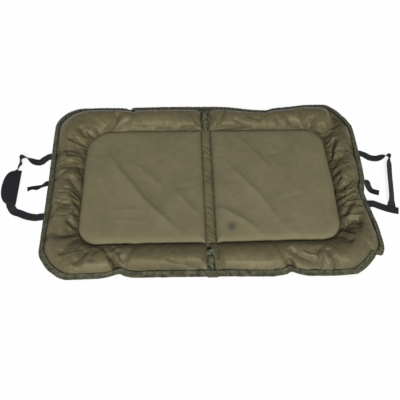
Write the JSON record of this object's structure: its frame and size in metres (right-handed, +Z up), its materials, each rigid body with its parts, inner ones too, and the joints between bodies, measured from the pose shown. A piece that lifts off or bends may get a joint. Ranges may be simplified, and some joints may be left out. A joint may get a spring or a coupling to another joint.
{
  "type": "folding unhooking mat",
  "caption": "Padded folding fish unhooking mat with a raised stuffed rim, bound edge, spine fold, webbing carrying handles, grip wrap and hook-and-loop closing tabs.",
  "frame": {"origin": "on the floor under the middle of the open mat's overall length and depth, straps included", "axes": "+X along the open mat's length, from the padded grip's end to the plain handle's end, +Y from the front to the back edge, +Z up"},
  "size_m": [1.2436, 0.65, 0.046],
  "materials": {
    "rim_nylon": "satin coated nylon, olive",
    "panel_nylon": "matt coated nylon, olive",
    "base_cloth": "heavy matt coated cloth, dark olive",
    "binding_tape": "woven tape, mottled grey green",
    "black_webbing": "woven polypropylene webbing, black",
    "wrap_cloth": "soft padded knit, black",
    "foam": "open cell foam, pale grey",
    "fibre_filling": "loose polyester fibre, white",
    "hook_and_loop": "hook and loop tape, black",
    "thread": "bonded thread, dark"
  },
  "bodies": {
    "left_half": {"base_sheet_left": "base_cloth", "rim_cover_left": "rim_nylon", "rim_filling_left": "fibre_filling", "panel_cover_left": "panel_nylon", "panel_foam_left": "foam", "edge_binding_left": "binding_tape", "bar_tack_left_back": "thread", "bar_tack_left_tab": "thread", "bar_tack_left_front": "thread"},
    "fold_strip": {"strip_cover": "panel_nylon", "strip_wadding": "foam", "strip_base": "base_cloth", "rim_gather_back": "rim_nylon", "rim_gather_front": "rim_nylon", "gather_filling_back": "fibre_filling", "gather_filling_front": "fibre_filling", "binding_bridge_back": "binding_tape", "binding_bridge_front": "binding_tape"},
    "right_half": {"base_sheet_right": "base_cloth", "rim_cover_right": "rim_nylon", "rim_filling_right": "fibre_filling", "panel_cover_right": "panel_nylon", "panel_foam_right": "foam", "edge_binding_right": "binding_tape", "bar_tack_right_back": "thread", "bar_tack_right_tab": "thread", "bar_tack_right_front": "thread"},
    "left_handle": {"handle_webbing_left": "black_webbing", "grip_wrap_lower": "wrap_cloth", "wrap_hook_patch": "hook_and_loop"},
    "wrap_flap": {"grip_wrap_upper": "wrap_cloth", "wrap_loop_patch": "hook_and_loop"},
    "right_handle": {"handle_webbing_right": "black_webbing", "handle_webbing_right_end": "black_webbing", "handle_stitch_box": "thread"},
    "left_tab": {"closure_tab_left": "black_webbing", "tab_hook_patch": "hook_and_loop"},
    "right_tab": {"closure_tab_right": "black_webbing", "tab_loop_patch": "hook_and_loop"}
  },
  "joints": [
    {"name": "fold_left", "type": "hinge", "parent": "left_half", "child": "fold_strip", "pos_m": [0.00416, 0, 0.01215], "axis": [0, -1, 0], "range_deg": [0, 90], "deforming": ["rim_cover_left", "rim_cover_right", "rim_filling_left", "rim_filling_right", "rim_gather_back", "rim_gather_front", "gather_filling_back", "gather_filling_front"]},
    {"name": "fold_right", "type": "hinge", "parent": "fold_strip", "child": "right_half", "pos_m": [0.03416, 0, 0.01215], "axis": [0, -1, 0], "range_deg": [0, 90]},
    {"name": "left_handle_lift", "type": "hinge", "parent": "left_half", "child": "left_handle", "pos_m": [-0.48179, 0, 0.011], "axis": [0, -1, 0], "range_deg": [-100, 0]},
    {"name": "right_handle_lift", "type": "hinge", "parent": "right_half", "child": "right_handle", "pos_m": [0.52011, 0, 0.011], "axis": [0, 1, 0], "range_deg": [-100, 0]},
    {"name": "left_tab_lift", "type": "hinge", "parent": "left_half", "child": "left_tab", "pos_m": [-0.48179, 0, 0.011], "axis": [0, -1, 0], "range_deg": [-100, 0]},
    {"name": "right_tab_lift", "type": "hinge", "parent": "right_half", "child": "right_tab", "pos_m": [0.52011, 0, 0.011], "axis": [0, 1, 0], "range_deg": [-100, 0]},
    {"name": "wrap_open", "type": "hinge", "parent": "left_handle", "child": "wrap_flap", "pos_m": [-0.57284, 0, 0.00375], "axis": [0, 1, 0], "range_deg": [0, 170]}
  ],
  "couplings": [
    {"joint": "fold_right", "follows": "fold_left", "ratio": 1}
  ]
}
